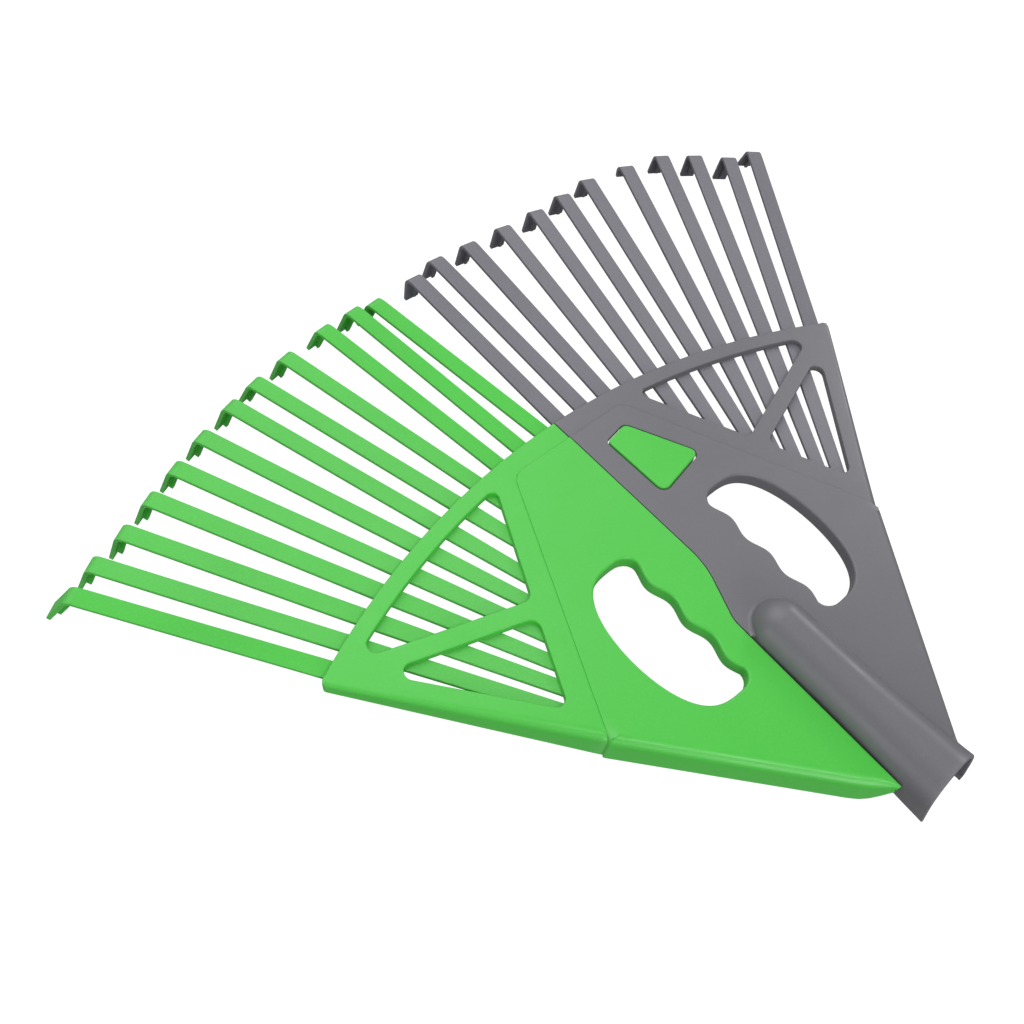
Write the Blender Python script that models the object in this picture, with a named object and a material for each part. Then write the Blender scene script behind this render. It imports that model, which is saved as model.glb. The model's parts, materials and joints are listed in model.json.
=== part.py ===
"""Two-piece leaf rake head: a green scoop and a grey scoop that latch together over a pole socket.

Plan layout, in millimetres: X runs across the rake (green half at -X, grey half at +X), Y runs along
the pole towards the tine tips, and Z is up. The outer band of the fan is an arc about (0, 0) of the
plan, so its radius places everything else along Y. `world` moves the plan to the part's own frame.
"""
import math

import bmesh
import bpy
from mathutils import Vector

MM = 0.001

# Where the plan's zero lies in the part's own frame (centred under the part, floor at Z = 0)
PLAN_TO_WORLD = Vector((-10.056, -321.05, 24.0))

# Fan frame: a flat plate with two windows and a skirt along its outer edge
FAN_RADIUS = 377.8
WINDOW_RADIUS = 370.0
WINDOW_CORNER_CLEAR = 12.0
FRAME_TOP = 0.0
FRAME_THICKNESS = 2.4
BAND_CORNER = (167.0, 339.0)
FRAME_HEEL = (93.2, 249.0)
SKIRT_THICKNESS = 2.2
SKIRT_SETBACK = 0.03
SKIRT_DEPTH_AT_BAND = 6.0
SKIRT_DEPTH_AT_HEEL = 16.0
LARGE_WINDOW_INNER = (46.5, 366.9)
LARGE_WINDOW_HEEL = (73.0, 314.3)
LARGE_WINDOW_OUTER = (149.5, 338.3)
SMALL_WINDOW = ((77.0, 306.6), (95.8, 267.6), (145.5, 328.0))

# Handle body: a raised plate with a deep outer skirt and a grip hole
BODY_TOP = 0.6
BODY_THICKNESS = 2.5
BODY_SKIRT_BOTTOM = -16.5
BODY_FRONT = 366.7
BODY_SHOULDER = (35.5, 366.7)
BODY_HEEL = (93.0, 247.2)
BODY_WALL = 2.6
SHOULDER_ROUND = 4.5
GAP = 0.35

# Split line between the halves: straight, a jog, then along the socket
SPLIT_X = 0.6
JOG_TOP = (0.6, 279.0)
JOG_FOOT = (-10.6, 252.0)
JOG_ROUNDS = (14.0, 45.0)
GREEN_TIP = (-13.2, 157.0)
GREEN_TIP_TURN = (-25.0, 168.5)
GREY_TIP = (22.6, 151.0)
# The green tip's end is cut back below its top, from (y, z) to (y, z)
TIP_SLOPE = ((156.8, -1.5), (160.0, -17.0))
# The grey tip's inner corner stands this far out from the arch's foot
TIP_SPREAD = 0.6

# Grip hole: a D with four finger hollows on the side towards the socket
GRIP_FIRST_Y = 228.0
GRIP_LAST_Y = 305.0
GRIP_INNER_X = 28.0
GRIP_WIDTH = 35.0
GRIP_SHIFT = {"green": -3.0, "grey": 0.0}
FINGER_PITCH = 23.5
FINGER_DEPTH = 1.5
FINGER_RIDGE_Y = 265.0
GRIP_WALL = 2.2
GRIP_WALL_BOTTOM = -6.6
GRIP_TIP = 7.0
GRIP_END_ROUND = 6.0

# Pole socket: an arched shell on the grey half over a trough on the green half
SOCKET_X = 3.2
SOCKET_Z = -0.5
SOCKET_END_Y = 143.8
SOCKET_NOSE_Y = 236.5
# The arch flares towards its open end: (y, outer radius, bore radius)
SOCKET_FLARE = (
    (SOCKET_END_Y, 16.3, 14.5),
    (165.0, 15.0, 13.2),
    (185.0, 14.0, 12.3),
    (205.0, 13.4, 11.7),
    (SOCKET_NOSE_Y, 13.3, 11.7),
)
SOCKET_RADIUS_NOSE = 13.3
# How far the open end's face runs back for each millimetre of height
SOCKET_END_SLOPE = 0.2
POLE_RADIUS = 11.7
POLE_STOP_Y = 240.0
SOCKET_WALL_BOTTOM = -9.5
LIP_REACH = 3.2
LIP_THICKNESS = 2.0
TROUGH_FIRST_Y = 163.0
TROUGH_LAST_Y = 239.5
TROUGH_TOP_Z = -10.0
TROUGH_OUTER_RADIUS = 14.0
TROUGH_EDGE_X = 12.5

# Latch: a tongue rooted under the green plate with a button in the grey plate's window
BUTTON_OUTLINE = ((13.1, 353.7), (26.8, 356.3), (44.7, 323.1), (13.9, 317.2))
BUTTON_ROUNDS = (2.1, 3.6, 3.0, 4.0)
BUTTON_TOP = 1.3
TONGUE_TOP = -2.6
TONGUE_THICKNESS = 2.0
TONGUE_ROOT_X = -13.0
TONGUE_Y = (322.0, 352.0)
LATCH_CLEARANCE = 0.7

# Tines: a flat strip over a central rib, with a hooked end
TINE_COUNT = 12
TINE_TOP = -2.8
TINE_WIDTH = 8.2
TINE_ROOT_WIDTH = 6.2
STRIP_THICKNESS = 2.0
RIB_WIDTH = 1.8
RIB_DEPTH = 2.4
BEND_RADIUS = 5.0
RIB_FILLET = 1.2
RIB_STOP = 2.6
FAN_CENTRE_Y = 126.0
BAND_MID_RADIUS = 372.0
# Each tine has a slight set of its own: its direction in degrees from the pole's line, and its
# length beyond the band, both from the centre outwards.
TINE_DIRECTIONS = {
    "green": (6.3, 4.9, 7.0, 12.3, 15.6, 17.2, 20.9, 24.1, 26.7, 29.7, 32.2, 33.6),
    "grey": (2.0, 3.2, 6.5, 10.8, 14.8, 17.5, 19.8, 25.0, 29.2, 31.9, 34.9, 36.3),
}
TINE_LENGTHS = {
    "green": (120.7, 122.7, 123.2, 122.7, 122.2, 121.2, 119.7, 118.0, 117.0, 116.6, 118.4, 118.4),
    "grey": (121.6, 126.1, 126.6, 128.6, 132.1, 137.6, 144.2, 148.6, 152.7, 149.5, 145.2, 148.3),
}
# Each hook's lean away from straight down, in degrees outwards, and the height of its end
HOOK_LEANS = {
    "green": (19.0, 18.0, 20.0, 18.0, 21.0, 18.0, 18.0, 18.0, 18.0, 16.0, 19.0, 29.0),
    "grey": (-2.0, 12.0, 8.0, 7.0, 7.0, 9.0, 9.0, -8.0, 10.0, 4.0, 8.0, 24.0),
}
HOOK_ENDS = {
    "green": (-24.0, -23.0, -22.0, -23.0, -22.0, -24.0, -23.0, -23.0, -24.0, -24.0, -23.0, -24.0),
    "grey": (-18.5, -19.5, -20.5, -20.0, -20.5, -20.0, -18.5, -11.0, -18.5, -20.0, -22.0, -19.0),
}
# The line under the body and rail where the tines end
ROOT_LINE = ((-4.0, 360.5), (34.0, 360.5), (85.9, 252.7), (160.0, 341.0))

SIDES = {"green": -1.0, "grey": 1.0}


def world(x, y, z):
    """A plan point in the part's own frame, in metres."""
    return (Vector((x, y, z)) + PLAN_TO_WORLD) * MM


def material(name, colour, roughness):
    mat = bpy.data.materials.new(name)
    mat.use_nodes = True
    shader = mat.node_tree.nodes["Principled BSDF"]
    shader.inputs["Base Color"].default_value = (*colour, 1.0)
    shader.inputs["Roughness"].default_value = roughness
    shader.inputs["Metallic"].default_value = 0.0
    mat.diffuse_color = (*colour, 1.0)
    return mat


def add_object(name, bm, mat, origin=(0.0, 0.0, 0.0)):
    """Turn a bmesh in world metres into a named object with its origin at a world point."""
    origin = Vector(origin)
    bmesh.ops.translate(bm, verts=bm.verts, vec=-origin)
    bmesh.ops.recalc_face_normals(bm, faces=bm.faces)
    mesh = bpy.data.meshes.new(name)
    bm.to_mesh(mesh)
    bm.free()
    if mat is not None:
        mesh.materials.append(mat)
    mesh.shade_smooth()
    mesh.set_sharp_from_angle(angle=math.radians(30.0))
    obj = bpy.data.objects.new(name, mesh)
    obj.location = origin
    bpy.context.scene.collection.objects.link(obj)
    return obj


def fillet(points, radii, steps=6):
    """Round the corners of a closed outline; a radius of 0 keeps the corner sharp."""
    outline = []
    count = len(points)
    for index in range(count):
        corner = Vector(points[index])
        radius = radii[index]
        before = (Vector(points[index - 1]) - corner).normalized()
        after = (Vector(points[(index + 1) % count]) - corner).normalized()
        half = before.angle(after) / 2.0
        if radius <= 0.0 or half > math.radians(89.0):
            outline.append(corner)
            continue
        setback = radius / math.tan(half)
        centre = corner + (before + after).normalized() * (radius / math.sin(half))
        start = corner + before * setback - centre
        end = corner + after * setback - centre
        turn = start.angle(end)
        for step in range(steps + 1):
            share = step / steps
            mixed = start * math.sin((1.0 - share) * turn) + end * math.sin(share * turn)
            outline.append(centre + mixed / math.sin(turn))
    return outline


def mirrored(points, side):
    """The outline on its own side of the rake."""
    return [Vector((side * p[0], p[1])) for p in points]


def prism(outline, bottom, top, holes=()):
    """A closed plate between two heights, with optional through holes."""
    bm = bmesh.new()
    edges = []
    for loop in (outline, *holes):
        verts = [bm.verts.new(world(p[0], p[1], bottom)) for p in loop]
        edges += [bm.edges.new((verts[i - 1], verts[i])) for i in range(len(verts))]
    bmesh.ops.triangle_fill(bm, use_beauty=True, use_dissolve=False, edges=edges)
    bmesh.ops.dissolve_limit(bm, angle_limit=0.001, verts=bm.verts, edges=bm.edges)
    result = bmesh.ops.extrude_face_region(bm, geom=list(bm.faces))
    raised = [item for item in result["geom"] if isinstance(item, bmesh.types.BMVert)]
    bmesh.ops.translate(bm, verts=raised, vec=(0.0, 0.0, (top - bottom) * MM))
    return bm


def loft(stations):
    """A closed solid through matching loops of plan points."""
    bm = bmesh.new()
    rings = [[bm.verts.new(world(*p)) for p in station] for station in stations]
    count = len(rings[0])
    for near, far in zip(rings, rings[1:]):
        for i in range(count):
            bm.faces.new((near[i - 1], near[i], far[i], far[i - 1]))
    bm.faces.new(rings[0])
    bm.faces.new(rings[-1])
    return bm


def boolean(obj, bm, operation, label):
    """Cut a tool from a solid, or join it on."""
    tool = add_object(f"{obj.name}_{label}", bm, None)
    tool.hide_render = True
    tool.display_type = "WIRE"
    modifier = obj.modifiers.new(label, "BOOLEAN")
    modifier.operation = operation
    modifier.solver = "EXACT"
    modifier.object = tool


def window_outlines():
    """The fan's large and small windows, on the grey side."""
    first = math.atan2(LARGE_WINDOW_INNER[0], LARGE_WINDOW_INNER[1])
    last = math.atan2(LARGE_WINDOW_OUTER[0], LARGE_WINDOW_OUTER[1])
    arc_steps = 16
    clear = WINDOW_CORNER_CLEAR / WINDOW_RADIUS
    span = last - first - 2.0 * clear
    angles = [first + clear + span * step / arc_steps for step in range(arc_steps + 1)]
    angles = [first, *angles, last]
    points = [(WINDOW_RADIUS * math.sin(angle), WINDOW_RADIUS * math.cos(angle)) for angle in angles]
    points.append(LARGE_WINDOW_HEEL)
    radii = [3.0] + [0.0] * (arc_steps + 1) + [4.0, 5.0]
    return [fillet(points, radii), fillet(SMALL_WINDOW, (4.5, 4.0, 4.0))]


def fan_frame(colour, side, mat):
    corner_angle = math.atan2(BAND_CORNER[0], BAND_CORNER[1])
    first_angle = math.asin((SPLIT_X * side + GAP / 2.0 + 0.1) / FAN_RADIUS)
    arc_steps = 40
    outline = []
    for step in range(arc_steps + 1):
        angle = first_angle + (corner_angle - first_angle) * step / arc_steps
        outline.append(Vector((FAN_RADIUS * math.sin(angle), FAN_RADIUS * math.cos(angle))))
    outer = Vector(BAND_CORNER).normalized() * FAN_RADIUS
    heel = Vector(FRAME_HEEL)
    inner_x = outline[0].x
    shoulder = Vector(BODY_SHOULDER) + Vector((GAP, GAP))
    outline.append(heel)
    outline += fillet(
        (heel + Vector((-0.3, 0.6)), shoulder, Vector((inner_x, BODY_FRONT + GAP))), (0.0, 9.0, 0.0)
    )
    holes = [mirrored(hole, side) for hole in window_outlines()]
    bottom = FRAME_TOP - FRAME_THICKNESS
    obj = add_object(
        f"{colour}_fan_frame", prism(mirrored(outline, side), bottom, FRAME_TOP, holes), mat
    )

    along = (outer - heel).normalized()
    inward = Vector((-along.y, along.x)) * SKIRT_THICKNESS
    near_band = outer - along * 1.0
    near_heel = heel + along * 1.5
    lift = bottom + 1.0
    stations = []
    for end, depth in ((near_band, SKIRT_DEPTH_AT_BAND), (near_heel, SKIRT_DEPTH_AT_HEEL)):
        point = end + inward * SKIRT_SETBACK
        back = end + inward
        stations.append(
            [
                (side * point.x, point.y, lift),
                (side * back.x, back.y, lift),
                (side * back.x, back.y, -depth),
                (side * point.x, point.y, -depth),
            ]
        )
    boolean(obj, loft(stations), "UNION", "skirt")
    return obj


def grip_outline(colour, grow=0.0):
    """The grip hole on the grey side, or its wall when grown."""
    shift = GRIP_SHIFT[colour]
    middle = (GRIP_FIRST_Y + GRIP_LAST_Y) / 2.0
    half = (GRIP_LAST_Y - GRIP_FIRST_Y) / 2.0 + grow
    round_steps = 44
    squareness = 0.62
    tip_x = GRIP_INNER_X + GRIP_TIP
    points = []
    for step in range(round_steps + 1):
        angle = math.pi / 2.0 * math.cos(math.pi * step / round_steps)
        reach = max(math.cos(angle), 0.0) ** squareness
        x = tip_x + (GRIP_WIDTH - GRIP_TIP + grow) * reach
        points.append(Vector((x + shift, middle + half * math.sin(angle))))
    finger_steps = 40
    corner_steps = 5
    low = middle - half + GRIP_END_ROUND
    high = middle + half - GRIP_END_ROUND

    def hollow(y):
        wave = FINGER_DEPTH * math.cos(2.0 * math.pi * (y - FINGER_RIDGE_Y) / FINGER_PITCH)
        return GRIP_INNER_X + wave - grow

    def corner(y, way, share):
        turn = math.pi / 2.0 * share
        x = tip_x - (tip_x - hollow(y)) * math.sin(turn)
        return Vector((x + shift, y - way * GRIP_END_ROUND * math.cos(turn)))

    points += [corner(low, 1.0, step / corner_steps) for step in range(1, corner_steps)]
    for step in range(finger_steps + 1):
        y = low + (high - low) * step / finger_steps
        points.append(Vector((hollow(y) + shift, y)))
    points += [corner(high, -1.0, step / corner_steps) for step in range(corner_steps - 1, 0, -1)]
    return points


def grey_body_outline():
    nose_radius = SOCKET_RADIUS_NOSE + GAP
    nose = []
    nose_steps = 20
    for step in range(nose_steps + 1):
        angle = math.radians(2.0 + 158.0 * step / nose_steps)
        aside = nose_radius * math.cos(angle)
        nose.append((SOCKET_X + aside, SOCKET_NOSE_Y + nose_radius * math.sin(angle)))
    edge = [(SOCKET_X + outer + GAP, y) for y, outer, bore in SOCKET_FLARE[1:-1]]
    points = [(SPLIT_X + GAP / 2.0, BODY_FRONT), BODY_SHOULDER, BODY_HEEL, GREY_TIP]
    points.append((edge[0][0] + TIP_SPREAD, GREY_TIP[1] + 1.0))
    points += edge
    points += nose
    points += [
        (JOG_FOOT[0] + GAP / 2.0, SOCKET_NOSE_Y + 7.0),
        (JOG_FOOT[0] + GAP / 2.0, JOG_FOOT[1]),
        (JOG_TOP[0] + GAP / 2.0, JOG_TOP[1]),
    ]
    radii = [0.0, 9.0, 2.0, 1.0, 0.0] + [0.0] * (len(edge) + len(nose)) + [0.0, *JOG_ROUNDS]
    return fillet(points, radii)


def green_body_outline():
    """Given on the +X side, so its split line is mirrored."""
    points = [
        (-SPLIT_X + GAP / 2.0, BODY_FRONT),
        BODY_SHOULDER,
        BODY_HEEL,
        (-GREEN_TIP_TURN[0], GREEN_TIP_TURN[1]),
        (-GREEN_TIP[0] + 1.0, GREEN_TIP[1]),
        (-GREEN_TIP[0], GREEN_TIP[1] + 1.0),
        (-JOG_FOOT[0] + GAP / 2.0, JOG_FOOT[1]),
        (-JOG_TOP[0] + GAP / 2.0, JOG_TOP[1]),
    ]
    return fillet(points, [0.0, 9.0, 2.0, 14.0, 0.5, 0.5, *JOG_ROUNDS])


def outer_edge(colour):
    """The two ends of the body's outer edge, on the +X side."""
    tip = GREY_TIP if colour == "grey" else (-GREEN_TIP_TURN[0], GREEN_TIP_TURN[1])
    return Vector(BODY_HEEL), Vector(tip)


def body_pocket(colour):
    """The hollow under the body plate, open at the front and along the split, on the +X side."""
    heel, tip = outer_edge(colour)
    along = (tip - heel).normalized()
    inward = Vector((along.y, -along.x))
    first = heel + inward * BODY_WALL - along * 30.0
    if colour == "grey":
        last = tip + inward * BODY_WALL + along * 10.0
        near = Vector((-40.0, last.y))
        return [first, last, near, Vector((-40.0, 400.0)), Vector((first.x + 30.0, 400.0))]
    turn = tip + inward * BODY_WALL
    end = Vector((-GREEN_TIP[0] + 2.5, GREEN_TIP[1] + 3.2))
    near = Vector((-40.0, end.y))
    return [first, turn, end, near, Vector((-40.0, 400.0)), Vector((first.x + 30.0, 400.0))]


def handle_body(colour, side, mat):
    outline = grey_body_outline() if colour == "grey" else green_body_outline()
    bm = prism(mirrored(outline, side), BODY_SKIRT_BOTTOM, BODY_TOP)
    round_shoulder(bm, colour, side)
    obj = add_object(f"{colour}_handle_body", bm, mat)

    pocket_top = BODY_TOP - BODY_THICKNESS
    pocket = prism(mirrored(body_pocket(colour), side), BODY_SKIRT_BOTTOM - 2.0, pocket_top)
    boolean(obj, pocket, "DIFFERENCE", "pocket")
    wall = prism(mirrored(grip_outline(colour, GRIP_WALL), side), GRIP_WALL_BOTTOM, pocket_top + 1.0)
    boolean(obj, wall, "UNION", "grip_wall")
    hole = prism(mirrored(grip_outline(colour), side), BODY_SKIRT_BOTTOM - 4.0, BODY_TOP + 4.0)
    boolean(obj, hole, "DIFFERENCE", "grip_hole")
    if colour == "green":
        (first_y, first_z), (last_y, last_z) = TIP_SLOPE
        corners = ((140.0, first_z), (first_y, first_z), (last_y, last_z), (140.0, last_z))
        slope = loft([[(x, y, z) for y, z in corners] for x in (-24.0, -5.0)])
        boolean(obj, slope, "DIFFERENCE", "tip_slope")
    if colour == "grey":
        window = fillet(grown_button(LATCH_CLEARANCE), BUTTON_ROUNDS)
        boolean(obj, prism(window, pocket_top - 4.0, BODY_TOP + 4.0), "DIFFERENCE", "latch_window")
    return obj


def round_shoulder(bm, colour, side):
    """Round the long top edge where the plate turns down into the skirt."""
    heel, tip = outer_edge(colour)
    along = (tip - heel).normalized()
    top = world(0.0, 0.0, BODY_TOP).z
    chosen = []
    for edge in bm.edges:
        if any(abs(v.co.z - top) > 1e-6 for v in edge.verts):
            continue
        middle = (edge.verts[0].co + edge.verts[1].co) / (2.0 * MM) - PLAN_TO_WORLD
        offset = Vector((side * middle.x, middle.y)) - heel
        aside = abs(offset.x * along.y - offset.y * along.x)
        beyond = offset.dot(along)
        if len(edge.link_faces) == 2 and aside < 0.6 and 0.5 < beyond < (tip - heel).length + 0.5:
            if edge.calc_face_angle() > math.radians(60.0):
                chosen.append(edge)
    bmesh.ops.bevel(
        bm,
        geom=chosen,
        offset=SHOULDER_ROUND * MM,
        segments=6,
        profile=0.5,
        affect="EDGES",
        clamp_overlap=True,
    )


def grown_button(grow):
    """The button's outline moved outwards by a clearance."""
    points = [Vector(p) for p in BUTTON_OUTLINE]
    centre = sum(points, Vector((0.0, 0.0))) / len(points)
    moved = []
    for index, point in enumerate(points):
        before = (points[index - 1] - point).normalized()
        after = (points[(index + 1) % len(points)] - point).normalized()
        bisector = (before + after).normalized()
        sharpness = max(math.sin(before.angle(after) / 2.0), 0.3)
        outward = -bisector if bisector.dot(centre - point) > 0.0 else bisector
        moved.append(point + outward * grow / sharpness)
    return moved


def latch(mat):
    """The tongue and its button are one springy piece, hinged where the tongue is rooted."""
    tongue_bottom = TONGUE_TOP - TONGUE_THICKNESS
    edge_x = BUTTON_OUTLINE[2][0] - 2.5
    low, high = TONGUE_Y
    corners = ((TONGUE_ROOT_X, low), (edge_x, low), (edge_x - 12.0, high), (TONGUE_ROOT_X, high))
    outline = fillet(corners, (3.0,) * len(corners))
    hinge = world(TONGUE_ROOT_X + 4.0, (low + high) / 2.0, (TONGUE_TOP + tongue_bottom) / 2.0)
    obj = add_object("latch_button", prism(outline, tongue_bottom, TONGUE_TOP), mat, hinge)
    button = fillet(BUTTON_OUTLINE, BUTTON_ROUNDS)
    boolean(obj, prism(button, tongue_bottom + 0.5, BUTTON_TOP), "UNION", "button")
    return obj


def arch(radius, y, wall_bottom, slope=0.0, steps=24):
    """An arch section on the socket's axis with straight walls below it, leaning by its slope."""
    foot_y = y + slope * (wall_bottom - SOCKET_Z)
    points = [(SOCKET_X + radius, foot_y, wall_bottom)]
    for step in range(steps + 1):
        angle = math.pi * step / steps
        height = radius * math.sin(angle)
        points.append((SOCKET_X + radius * math.cos(angle), y + slope * height, SOCKET_Z + height))
    points.append((SOCKET_X - radius, foot_y, wall_bottom))
    return points


def socket_upper_shell(mat):
    stations = [
        arch(outer, y, SOCKET_WALL_BOTTOM, SOCKET_END_SLOPE if y == SOCKET_END_Y else 0.0)
        for y, outer, bore in SOCKET_FLARE[:-1]
    ]
    nose_steps = 8
    for step in range(nose_steps):
        angle = math.radians(84.0) * step / (nose_steps - 1)
        radius = SOCKET_RADIUS_NOSE * math.cos(angle)
        floor = SOCKET_WALL_BOTTOM * math.cos(angle) - 1.0 * (1.0 - math.cos(angle))
        stations.append(arch(radius, SOCKET_NOSE_Y + SOCKET_RADIUS_NOSE * math.sin(angle), floor))
    obj = add_object("grey_socket_upper_shell", loft(stations), mat)

    bore_bottom = -30.0
    bore = [arch(SOCKET_FLARE[0][2], SOCKET_END_Y - 5.0, bore_bottom)]
    bore += [arch(inner, y, bore_bottom) for y, outer, inner in SOCKET_FLARE]
    bore.append(arch(POLE_RADIUS, POLE_STOP_Y, bore_bottom))
    boolean(obj, loft(bore), "DIFFERENCE", "bore")

    lip = []
    for y, outer, inner in SOCKET_FLARE:
        outer_x = SOCKET_X + outer - 0.4
        station_y = y
        if y == SOCKET_END_Y:
            station_y += SOCKET_END_SLOPE * (SOCKET_WALL_BOTTOM - SOCKET_Z)
        if y == SOCKET_NOSE_Y:
            station_y -= 2.0
        corners = (
            (outer_x, SOCKET_WALL_BOTTOM + 0.6),
            (outer_x - LIP_REACH, SOCKET_WALL_BOTTOM + 0.6 - 1.2),
            (outer_x - LIP_REACH, SOCKET_WALL_BOTTOM - LIP_THICKNESS),
            (outer_x, SOCKET_WALL_BOTTOM - LIP_THICKNESS),
        )
        lip.append([(x, station_y, z) for x, z in corners])
    boolean(obj, loft(lip), "UNION", "lip")
    return obj


def socket_lower_trough(mat):
    """A trough under the pole, with a wall up to the underside of the green plate."""
    plate_bottom = BODY_TOP - BODY_THICKNESS
    wall_x = GREEN_TIP[0] - 0.2
    wall_inner = wall_x - BODY_WALL
    rise = TROUGH_TOP_Z - SOCKET_Z
    half = math.acos((TROUGH_EDGE_X - SOCKET_X) / TROUGH_OUTER_RADIUS)
    section = [(wall_inner, plate_bottom - GAP), (wall_x, plate_bottom - GAP), (wall_x, TROUGH_TOP_Z)]
    inner_half = math.acos(-rise / POLE_RADIUS)
    arc_steps = 8
    for step in range(arc_steps + 1):
        angle = -math.pi / 2.0 - inner_half + 2.0 * inner_half * step / arc_steps
        ray = Vector((math.cos(angle), math.sin(angle)))
        section.append(Vector((SOCKET_X, SOCKET_Z)) + ray * POLE_RADIUS)
    section.append((TROUGH_EDGE_X, TROUGH_TOP_Z))
    first = -half
    last = -math.pi / 2.0 - (math.pi / 2.0 - half) * 0.6
    for step in range(arc_steps + 1):
        angle = first + (last - first) * step / arc_steps
        ray = Vector((math.cos(angle), math.sin(angle)))
        section.append(Vector((SOCKET_X, SOCKET_Z)) + ray * TROUGH_OUTER_RADIUS)
    section.append((wall_inner, section[-1][1]))
    ends = (TROUGH_FIRST_Y, TROUGH_LAST_Y)
    bm = loft([[(x, y, z) for x, z in section] for y in ends])
    return add_object("green_socket_lower_trough", bm, mat)


def band_angle(index):
    """A tine's place on the band, in degrees about the fan's centre."""
    return 1.2 + 3.5 * index - 0.028 * index * index


def band_point(index):
    """Where a tine's middle line crosses the band, on the +X side."""
    angle = math.radians(band_angle(index))
    heading = Vector((math.sin(angle), math.cos(angle)))
    centre = Vector((0.0, FAN_CENTRE_Y))
    along = centre.dot(heading)
    reach = -along + math.sqrt(along * along - centre.length_squared + BAND_MID_RADIUS**2)
    return centre + heading * reach


def cross(a, b):
    return a.x * b.y - a.y * b.x


def root_length(start, heading):
    """How far a tine runs back from the band before it meets the root line."""
    lengths = []
    for near, far in zip(ROOT_LINE, ROOT_LINE[1:]):
        leg = Vector(far) - Vector(near)
        offset = start - Vector(near)
        length = cross(offset, leg) / cross(heading, leg)
        share = cross(offset, heading) / cross(leg, heading)
        if length > 0.0 and 0.0 <= share <= 1.0:
            lengths.append(length)
    return min(lengths)


def tine_profile(back, front, lean, end):
    """Side view of a tine: matching outer, inner and rib points as (distance, height) pairs.

    The last entry has no rib, because the rib stops short of the hook's end.
    """
    bend = math.radians(90.0 - lean)
    strip_radius = BEND_RADIUS - STRIP_THICKNESS
    rib_depth = STRIP_THICKNESS + RIB_DEPTH
    bend_start = front - BEND_RADIUS
    centre = Vector((bend_start, TINE_TOP - BEND_RADIUS))
    fillet_reach = (rib_depth - BEND_RADIUS + RIB_FILLET) / math.cos(bend / 2.0)
    fillet_centre = centre - Vector((math.sin(bend / 2.0), math.cos(bend / 2.0))) * fillet_reach
    profile = []
    for x in (-back, 0.0):
        levels = (TINE_TOP, TINE_TOP - STRIP_THICKNESS, TINE_TOP - rib_depth)
        profile.append(tuple(Vector((x, level)) for level in levels))
    bend_steps = 8
    for step in range(bend_steps + 1):
        turn = bend * step / bend_steps
        ray = Vector((math.sin(turn), math.cos(turn)))
        profile.append(
            (centre + ray * BEND_RADIUS, centre + ray * strip_radius, fillet_centre + ray * RIB_FILLET)
        )
    down = Vector((math.cos(bend), -math.sin(bend)))
    outer, inner, rib = profile[-1]
    across = (rib - inner).project(inner - outer)
    run = (outer.y - STRIP_THICKNESS * math.cos(bend) - end) / math.sin(bend)
    rib_end = inner + down * (run - RIB_STOP)
    profile.append((outer + down * (run - RIB_STOP), rib_end, rib_end + across))
    profile.append((outer + down * run, inner + down * run, None))
    return profile


def tine(colour, side, index, mat):
    start = band_point(index)
    angle = math.radians(TINE_DIRECTIONS[colour][index])
    heading = Vector((math.sin(angle), math.cos(angle)))
    profile = tine_profile(
        root_length(start, heading),
        TINE_LENGTHS[colour][index],
        HOOK_LEANS[colour][index],
        HOOK_ENDS[colour][index],
    )
    bm = bmesh.new()

    def vertex(point, aside):
        plan = start + heading * point.x + Vector((heading.y, -heading.x)) * aside
        return bm.verts.new(world(side * plan.x, plan.y, point.y))

    stations = []
    for outer, inner, rib in profile:
        half = TINE_WIDTH / 2.0 if outer.x > -1.0 else TINE_ROOT_WIDTH / 2.0
        edge = RIB_WIDTH / 2.0
        station = {
            "outer": [vertex(outer, -half), vertex(outer, half)],
            "inner": [vertex(inner, x) for x in (-half, -edge, edge, half)],
        }
        if rib is not None:
            station["rib"] = [vertex(rib, -edge), vertex(rib, edge)]
        stations.append(station)

    for near, far in zip(stations, stations[1:]):
        strips = [(near["outer"], far["outer"])]
        strips.append(([near["outer"][0], near["inner"][0]], [far["outer"][0], far["inner"][0]]))
        strips.append(([near["outer"][1], near["inner"][3]], [far["outer"][1], far["inner"][3]]))
        strips.append((near["inner"][0:2], far["inner"][0:2]))
        strips.append((near["inner"][2:4], far["inner"][2:4]))
        if "rib" in far:
            strips.append((near["rib"], far["rib"]))
            strips.append(([near["inner"][1], near["rib"][0]], [far["inner"][1], far["rib"][0]]))
            strips.append(([near["inner"][2], near["rib"][1]], [far["inner"][2], far["rib"][1]]))
        else:
            strips.append((near["inner"][1:3], far["inner"][1:3]))
            bm.faces.new((near["inner"][1], near["inner"][2], near["rib"][1], near["rib"][0]))
        for (a, b), (c, d) in strips:
            bm.faces.new((a, b, d, c))
    first, last = stations[0], stations[-1]
    inner, rib = first["inner"], first["rib"]
    bm.faces.new((*first["outer"], inner[3], inner[2], rib[1], rib[0], inner[1], inner[0]))
    bm.faces.new((*last["outer"], *reversed(last["inner"])))
    return add_object(f"{colour}_tine_{index + 1:02d}", bm, mat)


def build():
    for obj in list(bpy.data.objects):
        bpy.data.objects.remove(obj, do_unlink=True)
    shades = {
        "green": ((0.085, 0.62, 0.06), (0.10, 0.60, 0.07)),
        "grey": ((0.21, 0.205, 0.23), (0.22, 0.215, 0.245)),
    }
    for colour, side in SIDES.items():
        body_mat = material(f"{colour}_body_plastic", shades[colour][0], 0.35)
        tine_mat = material(f"{colour}_tine_plastic", shades[colour][1], 0.55)
        fan_frame(colour, side, body_mat)
        handle_body(colour, side, body_mat)
        for index in range(TINE_COUNT):
            tine(colour, side, index, tine_mat)
        if colour == "grey":
            socket_upper_shell(body_mat)
        else:
            socket_lower_trough(body_mat)
            latch(body_mat)


build()
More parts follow.
